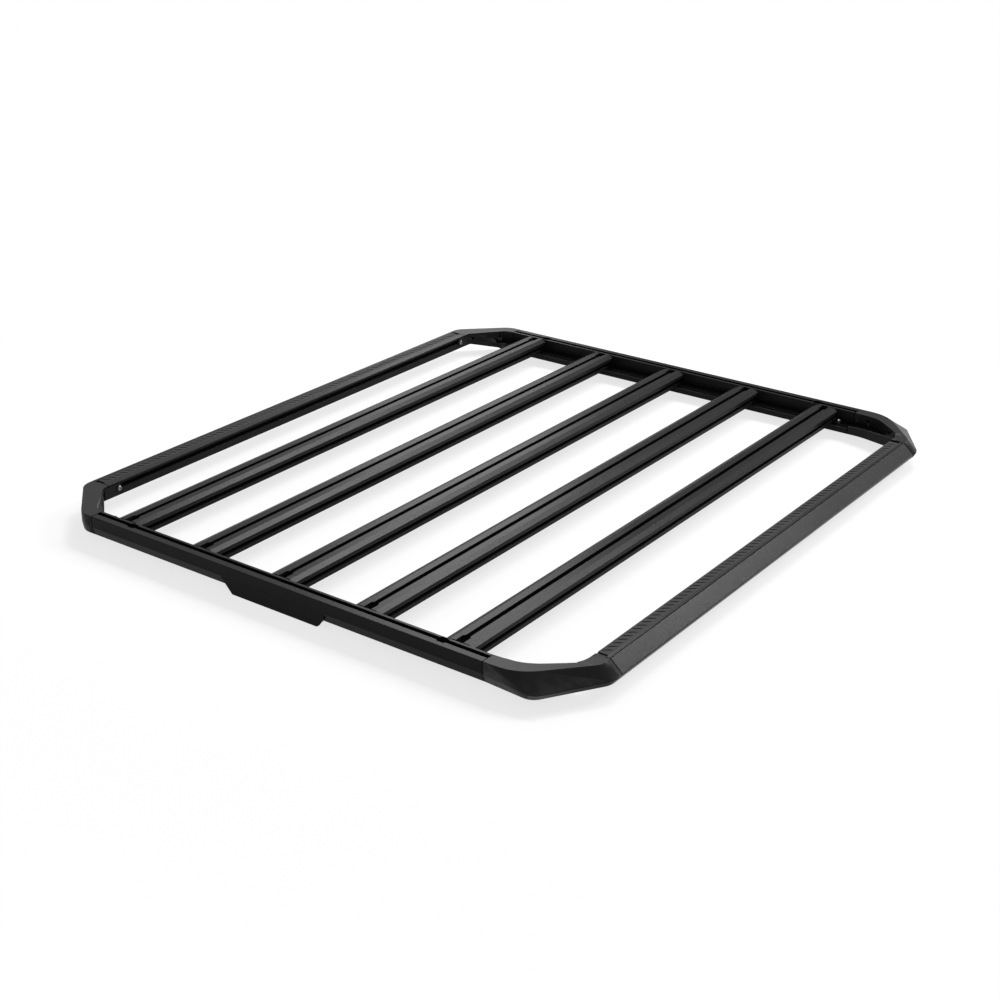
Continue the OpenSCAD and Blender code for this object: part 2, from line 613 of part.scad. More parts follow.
// Bare name plate: a blade flush with one rail's face, with a wedge that seats on the rail's chamfer
module name_plate() color(alloy) place() {
  slope = rail_chamfer / (rail_h - rail_face_h);
  z_top = -rail_face_h - plate_gap;
  z_low = z_top - plate_h;
  translate([-tray_w / 2, 0, 0]) intersection() {
    rotate([90, 0, 0]) translate([0, 0, -plate_l / 2]) linear_extrude(plate_l) polygon([
      [0, z_top], [slope * plate_gap - fit, z_top], [rail_chamfer - fit, -rail_h],
      [rail_chamfer - fit, -rail_h - fit], [plate_t, -rail_h - fit - plate_t], [plate_t, z_low],
      [0, z_low]
    ]);
    rotate([90, 0, 90]) translate([0, 0, -cut]) linear_extrude(rail_chamfer + 2 * cut) polygon([
      [-plate_l / 2, z_top + cut], [plate_l / 2, z_top + cut], [plate_l / 2, z_top],
      [plate_l / 2 - plate_slant, z_low], [-plate_l / 2 + plate_nip + plate_nick, z_low],
      [-plate_l / 2 + plate_nip, z_low + 4], [-plate_l / 2, z_top - plate_h / 3]
    ]);
  }
}

rail(-1);  // rail_left
rail(1);  // rail_right
slat(1);  // slat_1
slat(2);  // slat_2
slat(3);  // slat_3
slat(4);  // slat_4
slat(5);  // slat_5
corner_front(-1);  // corner_front_left
corner_front(1);  // corner_front_right
corner_rear(-1);  // corner_rear_left
corner_rear(1);  // corner_rear_right
fairing_front();
fairing_rear();
tread(-1, front_l, tread_w, front_inner_v + tread_w / 2);  // tread_front
tread(1, rear_l, rear_tread_w, rear_inner_v + rear_inner_band + rear_tread_w / 2);  // tread_rear
joint(-1, -1, front_run, front_inner_v);  // joint_front_left
joint(1, -1, front_run, front_inner_v);  // joint_front_right
joint(-1, 1, rear_run, rear_inner_v);  // joint_rear_left
joint(1, 1, rear_run, rear_inner_v);  // joint_rear_right
clamp(1, -1);  // clamp_1_left
clamp(2, -1);  // clamp_2_left
clamp(3, -1);  // clamp_3_left
clamp(4, -1);  // clamp_4_left
clamp(5, -1);  // clamp_5_left
clamp(1, 1);  // clamp_1_right
clamp(2, 1);  // clamp_2_right
clamp(3, 1);  // clamp_3_right
clamp(4, 1);  // clamp_4_right
clamp(5, 1);  // clamp_5_right
name_plate();
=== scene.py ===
import math

import bmesh
import bpy
from mathutils import Matrix, Vector


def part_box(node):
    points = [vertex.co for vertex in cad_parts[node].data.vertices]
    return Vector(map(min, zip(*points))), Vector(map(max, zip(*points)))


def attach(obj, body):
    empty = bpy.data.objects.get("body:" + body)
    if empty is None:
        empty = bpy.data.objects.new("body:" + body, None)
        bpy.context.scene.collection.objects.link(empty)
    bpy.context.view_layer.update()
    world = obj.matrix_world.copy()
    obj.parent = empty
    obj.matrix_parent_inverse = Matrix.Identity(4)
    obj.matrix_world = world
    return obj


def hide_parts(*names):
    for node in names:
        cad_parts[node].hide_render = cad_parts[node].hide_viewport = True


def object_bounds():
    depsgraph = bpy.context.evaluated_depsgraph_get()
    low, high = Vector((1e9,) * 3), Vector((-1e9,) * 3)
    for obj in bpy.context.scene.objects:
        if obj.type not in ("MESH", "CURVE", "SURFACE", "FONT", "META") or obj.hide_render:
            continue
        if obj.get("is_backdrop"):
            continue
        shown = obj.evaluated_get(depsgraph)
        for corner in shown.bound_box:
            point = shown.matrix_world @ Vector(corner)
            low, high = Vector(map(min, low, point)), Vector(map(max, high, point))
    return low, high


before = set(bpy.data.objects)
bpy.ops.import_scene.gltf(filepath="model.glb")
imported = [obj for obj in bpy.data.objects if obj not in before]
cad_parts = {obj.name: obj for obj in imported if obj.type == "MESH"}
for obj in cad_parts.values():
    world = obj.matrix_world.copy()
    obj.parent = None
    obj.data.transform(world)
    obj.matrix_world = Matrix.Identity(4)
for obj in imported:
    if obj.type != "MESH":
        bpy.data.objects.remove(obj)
cad_low, cad_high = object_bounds()

# Camera: the viewpoint of the photograph, solved from the frame's own corners.
# The rows of the turn are the picture's right, its down and the way it looks.
picture_right = Vector((0.591656749, -0.806184861, 0.002874108))
picture_down = Vector((-0.329064271, -0.244750804, -0.912038257))
picture_ahead = Vector((0.735974861, 0.538667814, -0.410095099))
camera_data = bpy.data.cameras.new("camera")
camera_data.sensor_width = 36
camera_data.lens = 60.18382
camera_data.clip_start, camera_data.clip_end = 0.05, 60
camera = bpy.data.objects.new("camera", camera_data)
bpy.context.scene.collection.objects.link(camera)
turn = Matrix((picture_right, -picture_down, -picture_ahead)).transposed()
camera.matrix_world = Matrix.Translation((-2.75195846, -1.97127927, 1.48576061)) @ turn.to_4x4()
bpy.context.scene.camera = camera
bpy.context.scene.view_settings.view_transform = "Standard"

# Studio: a white room with an even level of light, and a pale floor that the platform lies on.
# What the camera and the gloss see is white; the floor still takes the platform's soft shadow.
room_level = 0.32
shadow_share = 0.25
shadow_reach = (0.9, 1.7)


def seen_directly(nodes, links):
    """1 for a ray that the camera, a gloss or a clear part sends, and 0 for all others."""
    path = nodes.new("ShaderNodeLightPath")
    total = path.outputs["Is Camera Ray"]
    for kind in ("Is Glossy Ray", "Is Transmission Ray"):
        plus = nodes.new("ShaderNodeMath")
        plus.operation = "ADD"
        plus.use_clamp = True
        links.new(total, plus.inputs[0])
        links.new(path.outputs[kind], plus.inputs[1])
        total = plus.outputs[0]
    return total


room = bpy.data.worlds.new("room")
bpy.context.scene.world = room
room.use_nodes = True
nodes, links = room.node_tree.nodes, room.node_tree.links
level = nodes.new("ShaderNodeMapRange")
level.inputs["To Min"].default_value = room_level
level.inputs["To Max"].default_value = 1
links.new(seen_directly(nodes, links), level.inputs["Value"])
nodes["Background"].inputs["Color"].default_value = (1, 1, 1, 1)
links.new(level.outputs[0], nodes["Background"].inputs["Strength"])

floor_paint = bpy.data.materials.new("floor_paint")
floor_paint.use_nodes = True
nodes, links = floor_paint.node_tree.nodes, floor_paint.node_tree.links
nodes.clear()
matt = nodes.new("ShaderNodeBsdfDiffuse")
matt.inputs["Color"].default_value = (0.95, 0.95, 0.95, 1)
white = nodes.new("ShaderNodeEmission")
white.inputs["Strength"].default_value = 1
where = nodes.new("ShaderNodeTexCoord")
distance = nodes.new("ShaderNodeVectorMath")
distance.operation = "LENGTH"
fade = nodes.new("ShaderNodeMapRange")
fade.interpolation_type = "SMOOTHSTEP"
fade.inputs["From Min"].default_value, fade.inputs["From Max"].default_value = shadow_reach
fade.inputs["To Min"].default_value = 1 - shadow_share
links.new(where.outputs["Object"], distance.inputs[0])
links.new(distance.outputs["Value"], fade.inputs["Value"])
share = nodes.new("ShaderNodeMath")
share.operation = "MULTIPLY"
links.new(fade.outputs[0], share.inputs[1])
mix = nodes.new("ShaderNodeMixShader")
out = nodes.new("ShaderNodeOutputMaterial")
links.new(seen_directly(nodes, links), share.inputs[0])
links.new(share.outputs[0], mix.inputs["Fac"])
links.new(matt.outputs[0], mix.inputs[1])
links.new(white.outputs[0], mix.inputs[2])
links.new(mix.outputs[0], out.inputs["Surface"])

floor_reach = 14
floor_drop = 0.0006
floor_mesh = bpy.data.meshes.new("floor")
floor_corners = [(-1, -1), (1, -1), (1, 1), (-1, 1)]
floor_mesh.from_pydata(
    [(x * floor_reach, y * floor_reach, -floor_drop) for x, y in floor_corners], [], [(0, 1, 2, 3)]
)
floor_mesh.materials.append(floor_paint)
floor = bpy.data.objects.new("floor", floor_mesh)
bpy.context.scene.collection.objects.link(floor)
floor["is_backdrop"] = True


def softbox(name, place, aim, width, height, power):
    """A rectangular lamp at a place, turned towards what it aims at."""
    lamp = bpy.data.lights.new(name, "AREA")
    lamp.shape = "RECTANGLE"
    lamp.size, lamp.size_y, lamp.energy = width, height, power
    holder = bpy.data.objects.new(name, lamp)
    bpy.context.scene.collection.objects.link(holder)
    holder.location = place
    holder.rotation_euler = (Vector(aim) - Vector(place)).to_track_quat("-Z", "Y").to_euler()


# Five softboxes give the bands of light along the tops, the slats' shoulders and the front slope.
far_tops = (-0.3, -0.1, 0)
front_slope = (0, -0.65, 0)
softbox("softbox_behind", (3.3, 2.7, 1.85), far_tops, 1.05, 0.9, 13)
softbox("softbox_behind_high", (3.3, 2.6, 3.2), far_tops, 1.25, 1.6, 44)
softbox("softbox_above", (5.46, 0.72, 5.8), (0, 0, 0), 3.4, 0.95, 215)
softbox("softbox_above_high", (4.9, 0.75, 6.5), (0, 0, 0), 3.2, 0.8, 290)
softbox("softbox_front", (6.2, -3.1, 4.9), front_slope, 2.6, 1.9, 330)

# A grey card beside the first softbox, which only the gloss sees, keeps the tops dark towards it.
card_grey = 0.4
card_paint = bpy.data.materials.new("grey_card")
card_paint.use_nodes = True
card_paint.node_tree.nodes.clear()
card_out = card_paint.node_tree.nodes.new("ShaderNodeOutputMaterial")
card_light = card_paint.node_tree.nodes.new("ShaderNodeEmission")
card_light.inputs["Strength"].default_value = card_grey
card_paint.node_tree.links.new(card_light.outputs[0], card_out.inputs["Surface"])
card_mesh = bpy.data.meshes.new("grey_card")
card_corners = [(4.9, 0.2, 0.3), (3.4, 2.1, 0.3), (3.4, 2.1, 3.4), (4.9, 0.2, 3.4)]
card_mesh.from_pydata(card_corners, [], [(0, 1, 2, 3)])
card_mesh.materials.append(card_paint)
card = bpy.data.objects.new("grey_card", card_mesh)
bpy.context.scene.collection.objects.link(card)
card.visible_camera = card.visible_diffuse = card.visible_shadow = card.visible_transmission = False
card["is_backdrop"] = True

# Side rails: two aluminium extrusions with a slot along the top and a ledge inside, cut to length
# and powder coated in satin black. The coat rounds each edge; a painted highlight lightens the edges,
# broken up in patches as if worn.
rail_black = (0.012, 0.012, 0.013)
# Painted highlight colour for the edges, broken up in patches as if worn.
edge_highlight_grey = (0.06, 0.06, 0.062)


def new_group(name, inputs, outputs):
    """A shader node group with number inputs and the outputs that are given."""
    tree = bpy.data.node_groups.new(name, "ShaderNodeTree")
    for label, value in inputs:
        socket = tree.interface.new_socket(label, in_out="INPUT", socket_type="NodeSocketFloat")
        socket.default_value = value
    for label, kind in outputs:
        tree.interface.new_socket(label, in_out="OUTPUT", socket_type=kind)
    return tree, tree.nodes.new("NodeGroupInput"), tree.nodes.new("NodeGroupOutput")


def maths(tree, operation, a, b, clamp=False):
    """A Math node on two sockets or numbers; gives its output."""
    node = tree.nodes.new("ShaderNodeMath")
    node.operation = operation
    node.use_clamp = clamp
    for socket, value in zip(node.inputs, (a, b)):
        if isinstance(value, (int, float)):
            socket.default_value = value
        else:
            tree.links.new(value, socket)
    return node.outputs[0]


def coat_grain_group():
    """The skin of a powder coat: broad cloudiness and fine orange peel, in object space."""
    tree, take, give = new_group(
        "coat_grain",
        [("Cloud Size", 0.18), ("Grain Size", 0.0014), ("Cloud", 0.5), ("Peel", 0.5)],
        [("Tint", "NodeSocketFloat"), ("Gloss Change", "NodeSocketFloat"), ("Height", "NodeSocketFloat")],
    )
    where = tree.nodes.new("ShaderNodeTexCoord").outputs["Object"]
    noises = {}
    for label, detail in (("Cloud", 4), ("Grain", 2)):
        noise = tree.nodes.new("ShaderNodeTexNoise")
        noise.inputs["Detail"].default_value = detail
        noise.inputs["Roughness"].default_value = 0.55
        scale = maths(tree, "DIVIDE", 1, take.outputs[label + " Size"])
        tree.links.new(where, noise.inputs["Vector"])
        tree.links.new(scale, noise.inputs["Scale"])
        noises[label] = maths(tree, "SUBTRACT", noise.outputs["Fac"], 0.5)
    cloud = maths(tree, "MULTIPLY", noises["Cloud"], take.outputs["Cloud"])
    grain = maths(tree, "MULTIPLY", noises["Grain"], take.outputs["Peel"])
    tree.links.new(maths(tree, "ADD", maths(tree, "ADD", cloud, grain), 1), give.inputs["Tint"])
    tree.links.new(maths(tree, "ADD", cloud, grain), give.inputs["Gloss Change"])
    tree.links.new(noises["Grain"], give.inputs["Height"])
    return tree


def edge_highlight_wear_group():
    """A painted highlight mask: 1 on sharp edges, broken up in patches as if the coat were worn."""
    tree, take, give = new_group(
        "edge_highlight_wear", [("Reach", 0.0012), ("Patch Size", 0.02)], [("Mask", "NodeSocketFloat")]
    )
    bevel = tree.nodes.new("ShaderNodeBevel")
    bevel.samples = 6
    tree.links.new(take.outputs["Reach"], bevel.inputs["Radius"])
    flat = tree.nodes.new("ShaderNodeNewGeometry")
    meet = tree.nodes.new("ShaderNodeVectorMath")
    meet.operation = "DOT_PRODUCT"
    tree.links.new(bevel.outputs[0], meet.inputs[0])
    tree.links.new(flat.outputs["True Normal"], meet.inputs[1])
    bent = maths(tree, "MULTIPLY", maths(tree, "SUBTRACT", 1, meet.outputs["Value"]), 7, clamp=True)
    where = tree.nodes.new("ShaderNodeTexCoord").outputs["Object"]
    noise = tree.nodes.new("ShaderNodeTexNoise")
    noise.inputs["Detail"].default_value = 5
    tree.links.new(where, noise.inputs["Vector"])
    tree.links.new(maths(tree, "DIVIDE", 1, take.outputs["Patch Size"]), noise.inputs["Scale"])
    patch = tree.nodes.new("ShaderNodeMapRange")
    patch.inputs["From Min"].default_value = 0.35
    patch.inputs["From Max"].default_value = 0.65
    patch.inputs["To Min"].default_value = 0.35
    tree.links.new(noise.outputs["Fac"], patch.inputs["Value"])
    tree.links.new(maths(tree, "MULTIPLY", bent, patch.outputs[0], clamp=True), give.inputs["Mask"])
    return tree


def recess_shade_group():
    """Painted shade from occlusion: 1 on a free face, and towards 0 deep in a slot or a grip cut."""
    tree, take, give = new_group("recess_shade", [("Reach", 0.012)], [("Open", "NodeSocketFloat")])
    hollow = tree.nodes.new("ShaderNodeAmbientOcclusion")
    hollow.samples = 6
    hollow.only_local = True
    tree.links.new(take.outputs["Reach"], hollow.inputs["Distance"])
    tree.links.new(hollow.outputs["AO"], give.inputs["Open"])
    return tree


def seam_shade_line_group():
    """Painted shade lines on two planes that lie evenly about a middle: 0 on a plane, 1 off the line."""
    tree, take, give = new_group(
        "seam_shade_line", [("Place", 0.0), ("Middle", 0.0), ("Offset", 0.5), ("Half Width", 0.0013)],
        [("Open", "NodeSocketFloat")],
    )
    from_middle = maths(tree, "SUBTRACT", take.outputs["Place"], take.outputs["Middle"])
    side = maths(tree, "ABSOLUTE", from_middle, 0)
    off = maths(tree, "ABSOLUTE", maths(tree, "SUBTRACT", side, take.outputs["Offset"]), 0)
    share = maths(tree, "DIVIDE", off, take.outputs["Half Width"], clamp=True)
    tree.links.new(maths(tree, "POWER", share, 4), give.inputs["Open"])
    return tree


coat_grain = coat_grain_group()
edge_highlight_wear = edge_highlight_wear_group()
recess_shade = recess_shade_group()
seam_shade_line = seam_shade_line_group()


def coated(name, body, edge, gloss, specular, grain, peel, cloud, round_off, metal=0.0, lines=()):
    """A coated or bare surface: body colour, painted edge highlight, bumped grain, rounded edge,
    painted shade in recesses, and painted shade lines at seams, each with its axis, middle and offset."""
    material = bpy.data.materials.new(name)
    material.use_nodes = True
    tree = material.node_tree
    shader = tree.nodes["Principled BSDF"]
    skin = tree.nodes.new("ShaderNodeGroup")
    skin.node_tree = coat_grain
    skin.inputs["Grain Size"].default_value = grain
    skin.inputs["Peel"].default_value = peel
    skin.inputs["Cloud"].default_value = cloud
    edge_sheen = tree.nodes.new("ShaderNodeGroup")
    edge_sheen.node_tree = edge_highlight_wear
    edge_sheen.inputs["Reach"].default_value = round_off
    tint = tree.nodes.new("ShaderNodeMix")
    tint.data_type = "RGBA"
    tint.blend_type = "MULTIPLY"
    tint.inputs["Factor"].default_value = 1
    tint.inputs["A"].default_value = (*body, 1)
    tree.links.new(skin.outputs["Tint"], tint.inputs["B"])
    # Painted highlight: the edge colour is mixed in along the edges.
    edge_sheen_mix = tree.nodes.new("ShaderNodeMix")
    edge_sheen_mix.data_type = "RGBA"
    edge_sheen_mix.inputs["B"].default_value = (*edge, 1)
    tree.links.new(maths(tree, "MULTIPLY", edge_sheen.outputs["Mask"], 0.6), edge_sheen_mix.inputs["Factor"])
    tree.links.new(tint.outputs["Result"], edge_sheen_mix.inputs["A"])
    # Painted shade: occlusion darkens colour and gloss in slots, grip cuts and corners.
    hollow = tree.nodes.new("ShaderNodeGroup")
    hollow.node_tree = recess_shade
    shade = hollow.outputs["Open"]
    axes = tree.nodes.new("ShaderNodeSeparateXYZ")
    tree.links.new(tree.nodes.new("ShaderNodeTexCoord").outputs["Object"], axes.inputs[0])
    # Painted shade: dark lines in colour and gloss along the seams between parts.
    for axis, middle, offset in lines:
        seam = tree.nodes.new("ShaderNodeGroup")
        seam.node_tree = seam_shade_line
        seam.inputs["Middle"].default_value = middle
        seam.inputs["Offset"].default_value = offset
        tree.links.new(axes.outputs[axis], seam.inputs["Place"])
        shade = maths(tree, "MULTIPLY", shade, seam.outputs["Open"])
    dark = tree.nodes.new("ShaderNodeMix")
    dark.data_type = "RGBA"
    dark.blend_type = "MULTIPLY"
    dark.inputs["Factor"].default_value = 1
    tree.links.new(edge_sheen_mix.outputs["Result"], dark.inputs["A"])
    tree.links.new(shade, dark.inputs["B"])
    tree.links.new(dark.outputs["Result"], shader.inputs["Base Color"])
    tree.links.new(maths(tree, "MULTIPLY", shade, specular), shader.inputs["Specular IOR Level"])
    gloss_change = maths(tree, "MULTIPLY", skin.outputs["Gloss Change"], 0.3)
    rough = maths(tree, "ADD", gloss_change, gloss, clamp=True)
    tree.links.new(rough, shader.inputs["Roughness"])
    shader.inputs["Metallic"].default_value = metal
    rounded = tree.nodes.new("ShaderNodeBevel")
    rounded.samples = 6
    rounded.inputs["Radius"].default_value = round_off
    bump = tree.nodes.new("ShaderNodeBump")
    bump.inputs["Strength"].default_value = 0.35
    bump.inputs["Distance"].default_value = grain * 0.12
    tree.links.new(skin.outputs["Height"], bump.inputs["Height"])
    tree.links.new(rounded.outputs[0], bump.inputs["Normal"])
    tree.links.new(bump.outputs[0], shader.inputs["Normal"])
    return material


def finish_nodes(names, material):
    """Gives CAD nodes their finish."""
    for name in names:
        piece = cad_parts[name]
        piece.data.materials.clear()
        piece.data.materials.append(material)


seam_gap = 0.0006
rail_low, rail_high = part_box("rail_left")
rail_seams = (1, (rail_low.y + rail_high.y) / 2, (rail_high.y - rail_low.y + seam_gap) / 2)
satin_black = coated(
    "satin_black_coat", rail_black, edge_highlight_grey, gloss=0.27, specular=0.045, grain=0.0016,
    peel=0.15, cloud=0.3, round_off=0.0005, lines=[rail_seams],
)
finish_nodes(["rail_left", "rail_right"], satin_black)

# Cross slats: five wider extrusions with one slot each, resting on the rails' ledges.
# They come from the same press as the rails and carry the same coat.
finish_nodes([f"slat_{i}" for i in range(1, 6)], satin_black)

# Slat clamps: folded steel tabs, zinc plated black, that hold each slat end down on its ledge.
# A short bolt with a plain washer goes through each tab; the bolt's head is bright steel.
clamp_black = coated(
    "black_zinc", (0.014, 0.014, 0.015), (0.08, 0.08, 0.08), gloss=0.36, specular=0.08,
    grain=0.0009, peel=0.5, cloud=0.6, round_off=0.0006,
)
clamp_names = [f"clamp_{i}_{side}" for i in range(1, 6) for side in ("left", "right")]
finish_nodes(clamp_names, clamp_black)

bolt_segments = 24
clamp_washer = [(3.5, 0), (5.8, 0), (5.8, 0.8), (5.4, 1.2), (3.5, 1.2)]
clamp_head = [(0, 0), (5, 0), (5, 3.6), (4.4, 4.4), (3.2, 4.6)]
clamp_socket, clamp_socket_depth = 4.2, 2.6
tab_middle, tab_t = 0.006, 0.003
bright_steel = coated(
    "bright_steel", (0.62, 0.62, 0.63), (0.8, 0.8, 0.8), gloss=0.24, specular=0.5,
    grain=0.0012, peel=0.25, cloud=0.3, round_off=0.0003, metal=1.0,
)


def add_piece(name, verts, faces, material):
    """A new object at the origin from its points and faces."""
    mesh = bpy.data.meshes.new(name)
    mesh.from_pydata(verts, [], faces)
    mesh.materials.append(material)
    piece = bpy.data.objects.new(name, mesh)
    bpy.context.scene.collection.objects.link(piece)
    return piece


def ring_points(radius, height, flats=0.0):
    """A ring of points: round, or six flats that are `flats` apart, in metres from millimetres."""
    points = []
    for k in range(bolt_segments):
        a = 2 * math.pi * k / bolt_segments
        if flats:
            radius = flats / 2 / math.cos((a + math.pi / 6) % (math.pi / 3) - math.pi / 6)
        points.append((radius * math.cos(a) / 1000, radius * math.sin(a) / 1000, height / 1000))
    return points


def turned(name, profile, material, flats=0.0, depth=0.0):
    """A turned part from its profile of radius and height in millimetres. With flats it has a
    six-sided socket of that depth in its top; with neither centre point it is a ring."""
    ring = profile[0][0] > 0
    verts, faces, rows = [], [], []
    for radius, height in profile if ring else profile[1:]:
        rows.append(len(verts))
        verts += ring_points(radius, height)
    if flats:
        top = profile[-1][1]
        for height in (top, top - depth):
            rows.append(len(verts))
            verts += ring_points(0, height, flats)
    if ring:
        rows.append(rows[0])
    for a, b in zip(rows, rows[1:]):
        for k in range(bolt_segments):
            n = (k + 1) % bolt_segments
            faces.append((a + k, a + n, b + n, b + k))
    if not ring:
        for row, flip in ((rows[0], True), (rows[-1], False)):
            centre = len(verts)
            verts.append((0, 0, verts[row][2]))
            for k in range(bolt_segments):
                n = (k + 1) % bolt_segments
                faces.append((centre, row + n, row + k) if flip else (centre, row + k, row + n))
    return add_piece(name, verts, faces, material)


def seat_tree():
    """Geometry Nodes: one copy of a small part on each point, turned as the point says."""
    tree = bpy.data.node_groups.new("seat_small_parts", "GeometryNodeTree")
    face = tree.interface
    face.new_socket("Points", in_out="INPUT", socket_type="NodeSocketGeometry")
    face.new_socket("Part", in_out="INPUT", socket_type="NodeSocketObject")
    face.new_socket("Finish", in_out="INPUT", socket_type="NodeSocketMaterial")
    face.new_socket("Pieces", in_out="OUTPUT", socket_type="NodeSocketGeometry")
    take, give = tree.nodes.new("NodeGroupInput"), tree.nodes.new("NodeGroupOutput")
    part = tree.nodes.new("GeometryNodeObjectInfo")
    turn_of = tree.nodes.new("GeometryNodeInputNamedAttribute")
    turn_of.data_type = "FLOAT_VECTOR"
    turn_of.inputs["Name"].default_value = "turn"
    copies = tree.nodes.new("GeometryNodeInstanceOnPoints")
    real = tree.nodes.new("GeometryNodeRealizeInstances")
    paint = tree.nodes.new("GeometryNodeSetMaterial")
    tree.links.new(take.outputs["Part"], part.inputs["Object"])
    tree.links.new(take.outputs["Points"], copies.inputs["Points"])
    tree.links.new(part.outputs["Geometry"], copies.inputs["Instance"])
    tree.links.new(turn_of.outputs["Attribute"], copies.inputs["Rotation"])
    tree.links.new(copies.outputs["Instances"], real.inputs["Geometry"])
    tree.links.new(real.outputs["Geometry"], paint.inputs["Geometry"])
    tree.links.new(take.outputs["Finish"], paint.inputs["Material"])
    tree.links.new(paint.outputs["Geometry"], give.inputs["Pieces"])
    return tree


seat_small_parts = seat_tree()


def seat(name, part, places, material):
    """Copies a small part to places, each a point and the way its top faces, as one plain mesh."""
    mesh = bpy.data.meshes.new(name)
    mesh.from_pydata([p for p, _ in places], [], [])
    turns = mesh.attributes.new("turn", "FLOAT_VECTOR", "POINT")
    for k, (_, up) in enumerate(places):
        turns.data[k].vector = Vector(up).to_track_quat("Z", "Y").to_euler()
    holder = bpy.data.objects.new(name + "_points", mesh)
    bpy.context.scene.collection.objects.link(holder)
    modifier = holder.modifiers.new("seat", "NODES")
    modifier.node_group = seat_small_parts
    values = {"Part": part, "Finish": material}
    for item in seat_small_parts.interface.items_tree:
        if item.item_type == "SOCKET" and item.in_out == "INPUT" and item.name in values:
            modifier[item.identifier] = values[item.name]
    graph = bpy.context.evaluated_depsgraph_get()
    made = bpy.data.meshes.new_from_object(holder.evaluated_get(graph), depsgraph=graph)
    made.name = name
    piece = bpy.data.objects.new(name, made)
    bpy.context.scene.collection.objects.link(piece)
    holder.modifiers.remove(modifier)
    bpy.data.objects.remove(holder)
    made.materials.clear()
    made.materials.append(material)
    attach(piece, "root")
    return piece


washer_pattern = turned("clamp_washer_pattern", clamp_washer, clamp_black)
head_pattern = turned("clamp_head_pattern", clamp_head, bright_steel, clamp_socket, clamp_socket_depth)
clamp_places = []
for name in clamp_names:
    low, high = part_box(name)
    tab_y = low.y + tab_middle if name.startswith("clamp_1") else high.y - tab_middle
    clamp_places.append((((low.x + high.x) / 2, tab_y, low.z + tab_t), (0, 0, 1)))
seat("clamp_washers", washer_pattern, clamp_places, clamp_black)
washer_t = clamp_washer[-1][1] / 1000
lifted = [((x, y, z + washer_t), up) for (x, y, z), up in clamp_places]
seat("clamp_bolts", head_pattern, lifted, bright_steel)
bpy.data.objects.remove(washer_pattern)
bpy.data.objects.remove(head_pattern)

# Corner castings: four die-cast aluminium corners that plug into the rails and fairings.
# Their powder coat is coarser than that of the extrusions. Smooth-shaded copies stand for the
# faceted CAD castings. The front copies keep the CAD's points; the rear ones are also reshaped.
fairing_seams = {
    end: (0, 0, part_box("fairing_" + end)[1].x + seam_gap / 2) for end in ("front", "rear")
}
casting_black = {
    end: coated(
        f"casting_coat_{end}", (0.014, 0.014, 0.015), (0.07, 0.07, 0.072), gloss=0.33,
        specular=0.06, grain=0.0022, peel=0.3, cloud=0.2, round_off=0.0008,
        lines=[rail_seams, fairing_seams[end]],
    )
    for end in ("front", "rear")
}
crease = math.radians(24)

# The rear casting's flange, measured from the rail's outer face, its end and its top. Its hip and
# run are the source's, rounded; how far the shelf goes back, how deep and where it eases aren't
# measured from the photograph.
flange_hip = (0.0319, 0.022)
flange_run = (0.763, 0.646)
flange_t, flange_margin = 0.005, 0.001
shelf_share, shelf_top = 0.6, -0.029
ease_in, ease_out, shelf_end, shelf_blend = (0, 0.02), (0.07, 0.085), 0.082, 0.005


def eased(value, start, stop):
    """0 before the start and 1 after the stop, with a smooth way between."""
    share = min(max((value - start) / (stop - start), 0.0), 1.0)
    return share * share * (3 - 2 * share)


def narrowed_shelf(x, y, z):
    """Draws a rear casting's inner shelf back under its flange, so that no flap shows inside the
    near corner. Points move up to 17.9 mm, and 18 pairs of faces then cross near the fairing."""
    side, u = math.copysign(1.0, x), -rail_low.x - abs(x)
    v, depth = y - rail_high.y, z - cad_high.z
    inside = (u - flange_hip[0]) * flange_run[1] - (v - flange_hip[1]) * flange_run[0]
    if depth < -flange_t and v < shelf_end and inside > flange_margin:
        ease = eased(v, *ease_in) * (1 - eased(v, *ease_out))
        u -= flange_run[1] * shelf_share * inside * ease
        v += flange_run[0] * shelf_share * inside * ease
        share = ease * min(max((inside - flange_margin) / shelf_blend, 0.0), 1.0)
        depth = min(depth, depth + (shelf_top - depth) * share)
    return side * (-rail_low.x - u), rail_high.y + v, cad_high.z + depth


for end in ("front", "rear"):
    for side in ("left", "right"):
        name = f"corner_{end}_{side}"
        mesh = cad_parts[name].data.copy()
        mesh.name = name + "_cast"
        shape = bmesh.new()
        shape.from_mesh(mesh)
        bmesh.ops.remove_doubles(shape, verts=shape.verts, dist=2e-6)
        if end == "rear":
            for vertex in shape.verts:
                vertex.co = narrowed_shelf(*vertex.co)
        shape.to_mesh(mesh)
        shape.free()
        mesh.materials.clear()
        mesh.materials.append(casting_black[end])
        mesh.polygons.foreach_set("use_smooth", [True] * len(mesh.polygons))
        mesh.set_sharp_from_angle(angle=crease)
        piece = bpy.data.objects.new(name + "_cast", mesh)
        bpy.context.scene.collection.objects.link(piece)
        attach(piece, "root")
        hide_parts(name)

# Corner joints: flat cast tongues that reach into the fairings' side slots, with one screw each.
# The screw is dull steel with a broad plain washer under its head.
joint_names = [f"joint_{end}_{side}" for end in ("front", "rear") for side in ("left", "right")]
joint_black = coated(
    "joint_coat", (0.014, 0.014, 0.015), (0.05, 0.05, 0.05), gloss=0.4, specular=0.06,
    grain=0.0016, peel=0.5, cloud=0.5, round_off=0.0004,
)
finish_nodes(joint_names, joint_black)
screw_steel = coated(
    "screw_steel", (0.2, 0.2, 0.205), (0.5, 0.5, 0.5), gloss=0.34, specular=0.5,
    grain=0.0012, peel=0.25, cloud=0.3, round_off=0.0003, metal=1.0,
)
joint_washer = [(2.8, 0), (8.2, 0), (8.2, 0.8), (7.8, 1.3), (2.8, 1.3)]
joint_head = [(0, 0), (5, 0), (5, 1.6), (4.2, 2.8), (2.8, 3.2)]
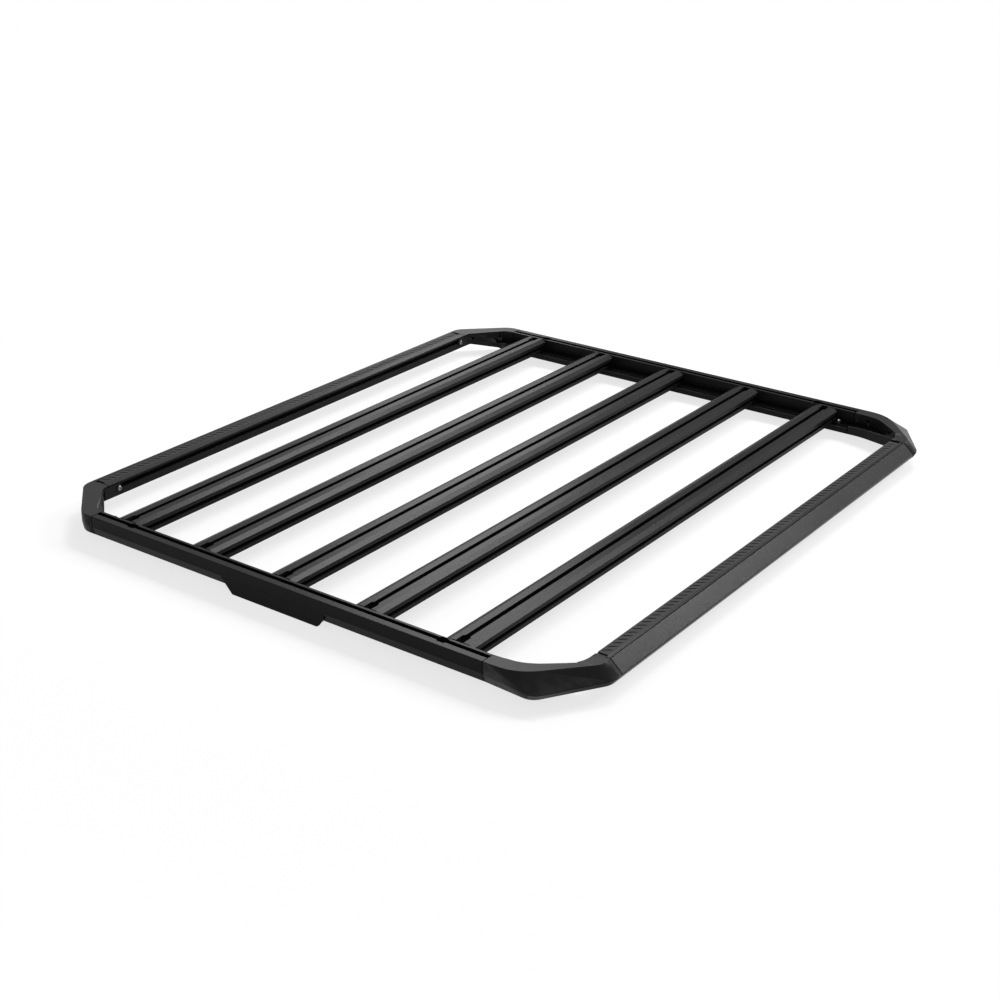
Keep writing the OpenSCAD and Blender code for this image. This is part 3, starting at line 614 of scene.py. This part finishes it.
joint_socket, joint_socket_depth = 3.2, 1.8
joint_end = 0.0085
joint_places = []
for name in joint_names:
    low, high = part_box(name)
    left, front = "left" in name, "front" in name
    x = high.x - joint_end if left else low.x + joint_end
    y = high.y if front else low.y
    joint_places.append(((x, y, high.z - joint_end), (0, 1 if front else -1, 0)))
washer_pattern = turned("joint_washer_pattern", joint_washer, screw_steel)
head_pattern = turned("joint_head_pattern", joint_head, screw_steel, joint_socket, joint_socket_depth)
seat("joint_washers", washer_pattern, joint_places, clamp_black)
washer_t = joint_washer[-1][1] / 1000
lifted = [((x, y + washer_t * up[1], z), up) for (x, y, z), up in joint_places]
seat("joint_screws", head_pattern, lifted, screw_steel)
bpy.data.objects.remove(washer_pattern)
bpy.data.objects.remove(head_pattern)

# Fairings: the sloped front beam and the flat rear beam, extrusions with a seat for the tread.
# They carry the rails' satin coat; the front beam's copy reflects more strongly, a painted sheen on
# the slope. A painted shade line beside the slope is drawn 1.5 mm inside the edge that the CAD has;
# its place isn't measured from the photograph.
shade_line_inset = 0.0255
# Painted sheen and shade: this copy of the rails' coat reflects more, and carries a painted dark line.
slope_sheen_black = coated(
    "slope_sheen_coat", rail_black, edge_highlight_grey, gloss=0.27, specular=0.11, grain=0.0016,
    peel=0.15, cloud=0.3, round_off=0.0005,
    lines=[fairing_seams["front"], (1, 0, -cad_low.y - shade_line_inset)],
)
rear_black = coated(
    "rear_beam_coat", rail_black, edge_highlight_grey, gloss=0.27, specular=0.045, grain=0.0016,
    peel=0.15, cloud=0.3, round_off=0.0005, lines=[fairing_seams["rear"]],
)
finish_nodes(["fairing_front"], slope_sheen_black)
finish_nodes(["fairing_rear"], rear_black)

# Treads: moulded rubber strips that snap into the fairings' seats, with slanted grip cuts.
# The rubber is matte and a little dusty; a painted highlight lightens its edges, and painted shade
# darkens its grip cuts.
tread_rubber = coated(
    "tread_rubber", (0.03, 0.03, 0.031), (0.05, 0.05, 0.05), gloss=0.5, specular=0.05,
    grain=0.0011, peel=0.8, cloud=0.8, round_off=0.0006,
)
finish_nodes(["tread_front", "tread_rear"], tread_rubber)

# Name plate: a folded aluminium strip under the left rail's foot, coated as the rails are.
# It is left bare.
finish_nodes(["name_plate"], satin_black)

low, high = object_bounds()
